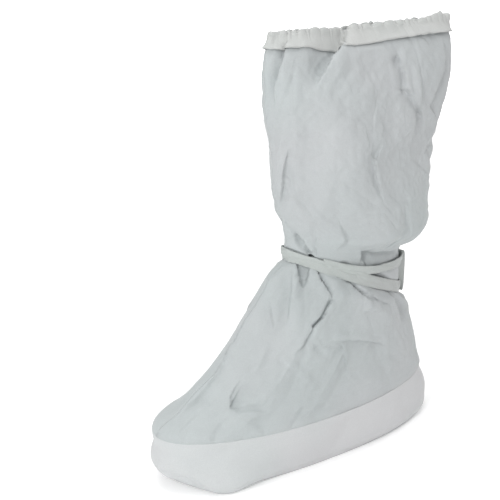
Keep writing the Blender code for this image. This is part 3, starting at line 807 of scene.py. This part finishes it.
def make_sole():
    """The sole and its band, of one smoother sheet, closed under the foot."""
    foot = ring_points(0.0, SOLE_COLS)
    middle = foot.mean(0)
    rings = []
    for share in np.linspace(0.02, 0.97, 26):
        rings.append(middle + (foot - middle) * share)
    levels = np.concatenate([np.linspace(0, 0.004, 4), np.linspace(0.004, SOLE_TOP, 40)[1:]])
    for level in levels:
        rings.append(ring_points(level, SOLE_COLS))
    grid = np.stack(rings)
    normals = grid_normals(grid)
    # The way from the middle of the underside to the band's top: below 0 it is underneath.
    wide = np.concatenate([np.linspace(-0.15, 0, 26), levels])
    side = ramp(wide, 0.0, 0.012)
    waves = wander(grid.shape[:2], 9, 13, SEED + 8)
    fade = (side * (1 - ramp(wide, 0.044, 0.058)))[:, None]
    lift = side[:, None] * 0.0007 + fade * 0.0011 * waves
    flat = np.stack(np.meshgrid(np.arange(SOLE_COLS) * 0.003, wide), -1)
    lift = lift + fade * 0.0028 * facets(flat, 0.060, SEED + 9)
    tall = wide[:, None]
    for height, along, reach, level, spread in SOLE_BULGES:
        bulge = np.exp(-(((grid[..., 0] - along) / reach) ** 2)) * (grid[..., 1] < -0.02)
        lift = lift + bulge * height * np.exp(-(((tall - level) / spread) ** 2)) * (tall > -0.001)
    lift = lift + heights(grid, normals, SOLE_CREASES, crease_profile) * side[:, None]
    grid = grid + normals * lift[..., None]
    toe = 0.0070 * ramp(-grid[..., 0], 0.135, 0.185) * (1 - ramp(wide, 0.0, 0.045))[:, None]
    grid[..., 2] = np.maximum(grid[..., 2], 0.0) + toe
    top, out = grid[-1], normals[-1]
    lip = [
        top + (0, 0, 0.0007) - out * 0.0003,
        top + (0, 0, 0.0007) - out * 0.0010,
        top - out * 0.0013,
        top - (0, 0, 0.003) - out * 0.0015,
    ]
    grid = np.concatenate([grid, np.stack(lip)])
    sole = grid_object("sole_wrap_cloth", grid)
    bm = bmesh.new()
    bm.from_mesh(sole.data)
    underside = [v for v in bm.verts if v.index < SOLE_COLS]
    bm.faces.new(sorted(underside, key=lambda v: -v.index))
    bmesh.ops.triangulate(bm, faces=[face for face in bm.faces if len(face.verts) > 4])
    bm.to_mesh(sole.data)
    bm.free()
    solid_sheet(sole, 0.0009)
    sole.data.materials.append(cloth_material("sole_sheet", (0.580, 0.592, 0.598), 0.35))
    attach(sole, "root")
    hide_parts("sole_wrap")


def neck_place(share, side, out):
    """A point beside the tied ankle. share runs from the front to the back, side is -1 or 1."""
    x = -math.cos(math.pi * share)
    y = side * (NECK_HALF + out) * math.sqrt(max(1 - x * x, 0))
    return Vector((NECK_MIDDLE + (NECK_REACH + out) * x, y, 0))


def ribbon(name, path, width, closed, seed):
    """A soft flat strap with a fold along it, on a path of points with outward directions."""
    across = np.linspace(-1, 1, 15)
    points = np.array([tuple(p) for p, _ in path])
    outs = np.array([tuple(o) for _, o in path])
    count = len(points)
    wave = wander((1, count), 1, 6, seed)[0]
    twist = wander((1, count), 1, 9, seed + 1)[0]
    widths = width * (1 + 0.09 * wander((1, count), 1, 7, seed + 2)[0])
    points[:, 2] += 0.0007 * wander((1, count), 1, 9, seed + 3)[0]
    flat = np.stack(np.meshgrid(np.arange(count) * 0.0018, across * width / 2), -1)
    folds = 0.0011 * facets(flat, 0.008, seed + 4, 0.55)
    line = 0.45 * np.sin(np.arange(count) * 0.045 + seed) + 0.1 * twist
    rows = []
    for a, fold in zip(across, folds):
        bow = 0.0003 * (1 - a * a) + 0.0009 * ramp(a, line - 0.10, line + 0.10)
        bow = bow - 0.0002 * abs(a) ** 6
        push = bow + 0.00025 * wave * (1 - a * a) + 0.0005 * twist * a
        row = points + outs * (push + fold)[:, None]
        row[:, 2] += a * widths / 2
        rows.append(row)
    grid = np.stack(rows)
    obj = grid_object(name, grid, closed)
    solid_sheet(obj, STRAP_WALL)
    return obj, grid


def make_ties():
    """The strap's two turns round the ankle, and the loop at the back that holds them."""

    def around_neck(shares, height, out):
        path = []
        for share, side in shares:
            place = neck_place(share, side, out)
            outward = neck_place(share, side, out + 0.001) - place
            rise = height((place.x - STRAP_FRONT) / STRAP_RUN)
            path.append((place + Vector((0, 0, rise)), outward.normalized()))
        return path

    half = 120
    whole = [(k / half, -1) for k in range(half + 1)]
    whole += [(2 - k / half, 1) for k in range(half + 1, 2 * half)]
    path = around_neck(whole, band_height, 0.0014)
    band, grid = ribbon("tie_band_strap", path, BAND_WIDTH, True, SEED + 20)
    finish_tie(band, "tie_band")
    # The second turn comes out from under the first on both sides.
    back = [(1 - 0.72 * abs(k) / 70, -1 if k <= 0 else 1) for k in range(-70, 71)]
    path = around_neck(back, cross_height, 0.0)
    for k, (place, out) in enumerate(path):
        tucked = min(k, len(path) - 1 - k) / 22
        path[k] = (place + out * (0.0006 + 0.0020 * float(ramp(tucked, 0.3, 1.0))), out)
    cross, grid = ribbon("tie_cross_strap", path, CROSS_WIDTH, False, SEED + 30)
    finish_tie(cross, "tie_cross")
    share = np.arange(25) / 24
    bow = 0.0035 * np.sin(math.pi * share)
    points = np.stack([0.1490 + 0.3 * bow, np.full(25, -0.0070), 0.1560 + 0.0510 * share], 1)
    loop, grid = upright_ribbon("tie_loop_strap", points, LOOP_WIDTH, SEED + 40)
    finish_tie(loop, "tie_loop")


def upright_ribbon(name, points, width, seed):
    """The strap's turn at the back: it runs up, so its width lies across."""
    turn = np.sin(np.pi * np.linspace(0, 1, len(points)))[:, None] ** 0.6
    way = (1 - turn) * np.array([0.25, -0.97, 0]) + turn * np.array([0.943, -0.333, 0])
    way /= np.linalg.norm(way, axis=1, keepdims=True)
    face = np.stack([-way[:, 1], way[:, 0], 0 * way[:, 0]], 1)
    wave = wander((1, len(points)), 1, 4, seed)[0]
    rows = []
    for a in np.linspace(-1, 1, 9):
        push = 0.0005 * (1 - a * a) + 0.0002 * wave
        rows.append(points + way * (a * width / 2) + face * push[:, None])
    grid = np.stack(rows)
    obj = grid_object(name, grid, False)
    solid_sheet(obj, STRAP_WALL)
    return obj, grid


def finish_tie(obj, node):
    """Gives a strap its cloth, attaches it to the root body and hides the solid it replaces."""
    obj.data.materials.append(cloth_material("tie_strap_cloth", (0.470, 0.494, 0.483), 0.7))
    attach(obj, "root")
    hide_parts(node)


def shader_node(tree, kind, inputs):
    """A new node. Each of its inputs, by name or number, is a value or another node's output."""
    node = tree.nodes.new("ShaderNode" + kind)
    set_inputs(tree, node, inputs)
    return node


def set_inputs(tree, node, inputs):
    """Sets a node's inputs, and links those that are given another node's output."""
    for name, given in inputs.items():
        if isinstance(given, bpy.types.NodeSocket):
            tree.links.new(given, node.inputs[name])
        else:
            node.inputs[name].default_value = given


def colour_mix(tree, blend, share, first, second):
    """The output of a node that mixes two colours."""
    node = tree.nodes.new("ShaderNodeMix")
    node.data_type = "RGBA"
    node.blend_type = blend
    set_inputs(tree, node, {0: share, 6: first, 7: second})
    return node.outputs[2]


def new_material(name):
    """A new material with its node tree and its shader."""
    material = bpy.data.materials.new(name)
    material.use_nodes = True
    return material, material.node_tree, material.node_tree.nodes["Principled BSDF"]


MATERIALS = {}


def cloth_material(name, colour, rough):
    """Pale non-woven cloth: a matt sheet of pressed fibres with faint dots, and broad soft stains."""
    if name in MATERIALS:
        return MATERIALS[name]
    material, tree, shader = new_material(name)
    place = shader_node(tree, "TexCoord", {}).outputs["Object"]
    broad = shader_node(tree, "TexNoise", {"Vector": place, "Scale": 14, "Detail": 4})
    fibre = shader_node(tree, "TexNoise", {"Vector": place, "Scale": 900, "Detail": 3})
    patch = shader_node(tree, "TexNoise", {"Vector": place, "Scale": 6.5, "Detail": 1.5})
    crumple = shader_node(tree, "TexNoise", {
        "Vector": place, "Scale": 90, "Detail": 5, "Roughness": 0.55, "Distortion": 0.6,
    })
    dots = shader_node(tree, "TexVoronoi", {"Vector": place, "Scale": 700})
    # The hue wanders from patch to patch, and the tone with the stains and the fibres.
    spread = shader_node(tree, "MapRange", {
        "Value": patch.outputs["Fac"], "From Min": 0.40, "From Max": 0.60,
    })
    shade = shader_node(tree, "MapRange", {
        "Value": broad.outputs["Fac"], "To Min": 0.90, "To Max": 1.06,
    })
    red, green, blue = colour
    cool, warm = (0.985 * red, 1.005 * green, blue, 1), (1.01 * red, 0.995 * green, blue, 1)
    hue = colour_mix(tree, "MIX", spread.outputs["Result"], cool, warm)
    tone = colour_mix(tree, "MULTIPLY", 1.0, hue, shade.outputs["Result"])
    grain = colour_mix(tree, "MULTIPLY", 0.18, tone, fibre.outputs["Fac"])
    fine = shader_node(tree, "Bump", {
        "Strength": 0.25 * rough, "Distance": 0.0002, "Height": fibre.outputs["Fac"],
    })
    pressed = shader_node(tree, "Bump", {
        "Strength": 0.2 * rough, "Distance": 0.0002, "Height": dots.outputs["Distance"],
        "Normal": fine.outputs["Normal"],
    })
    soft = shader_node(tree, "Bump", {
        "Strength": 0.35 * rough, "Distance": 0.0012, "Height": crumple.outputs["Fac"],
        "Normal": pressed.outputs["Normal"],
    })
    set_inputs(tree, shader, {
        "Base Color": grain, "Normal": soft.outputs["Normal"], "Roughness": 0.72,
        "Sheen Weight": 0.15, "Sheen Roughness": 0.5, "Specular IOR Level": 0.3,
    })
    MATERIALS[name] = material
    return material


def make_camera():
    """The photo's camera: where it stands, the way it looks, and its lens."""
    camera = bpy.data.cameras.new("photo_camera")
    camera.sensor_width = 36
    camera.lens = 76.87
    camera.clip_start = 0.01
    stand = bpy.data.objects.new("photo_camera", camera)
    bpy.context.scene.collection.objects.link(stand)
    stand.location = (-0.6905, -0.889, 0.629)
    stand.rotation_euler = Vector((0.5425, 0.772, -0.3313)).to_track_quat("-Z", "Y").to_euler()
    bpy.context.scene.camera = stand


WHITE = (1, 1, 1, 1)
WORLD_STRENGTH = 0.675
LAMPS = (
    # name, place, size, power
    ("key", (-1.5, -0.8, 1.2), 0.35, 12.5),
    ("top", (0.1, 0.3, 2.6), 2.2, 30),
    ("low", (-0.7, -1.3, 0.12), 0.8, 2.5),
)


def make_stage():
    """A pale floor in a glowing white drum, an even white sky, and three soft lamps."""
    bpy.ops.object.select_all(action="DESELECT")
    pale, tree, shader = new_material("pale_studio")
    set_inputs(tree, shader, {
        "Base Color": (0.93, 0.93, 0.93, 1), "Roughness": 0.95, "Emission Color": WHITE,
        "Emission Strength": 0.16,
    })
    bpy.ops.mesh.primitive_plane_add(size=16, location=(0, 0, 0))
    floor = bpy.context.active_object
    floor.name = "floor"
    floor.data.transform(Matrix.Translation((0, 0, -0.0004)))
    floor.data.materials.append(pale)
    glow, tree, shader = new_material("white_backdrop")
    set_inputs(tree, shader, {"Emission Color": WHITE, "Emission Strength": 1.0})
    bpy.ops.mesh.primitive_cylinder_add(
        vertices=96, radius=1.75, depth=7, end_fill_type="NOTHING", location=(0, 0, 0)
    )
    backdrop = bpy.context.active_object
    backdrop.name = "backdrop"
    backdrop.data.transform(Matrix.Translation((0, 0, 3.4)))
    backdrop.data.materials.append(glow)
    backdrop.visible_diffuse = backdrop.visible_glossy = backdrop.visible_shadow = False
    world = bpy.data.worlds.new("studio")
    bpy.context.scene.world = world
    world.use_nodes = True
    sky = world.node_tree.nodes["Background"]
    set_inputs(world.node_tree, sky, {"Color": WHITE, "Strength": WORLD_STRENGTH})
    for name, place, size, power in LAMPS:
        light = bpy.data.lights.new(name, "AREA")
        light.energy = power
        light.size = size
        lamp = bpy.data.objects.new(name, light)
        bpy.context.scene.collection.objects.link(lamp)
        lamp.location = place
        aim = Vector((0, 0, 0.25)) - lamp.location
        lamp.rotation_euler = aim.to_track_quat("-Z", "Y").to_euler()
    bpy.context.scene.view_settings.view_transform = "Standard"


make_camera()
make_stage()
cover, cover_inner, cover_levels = sewn_cloth()
make_panels(cover, cover_inner)
make_hem(cover, cover_levels)
make_sole()
make_ties()
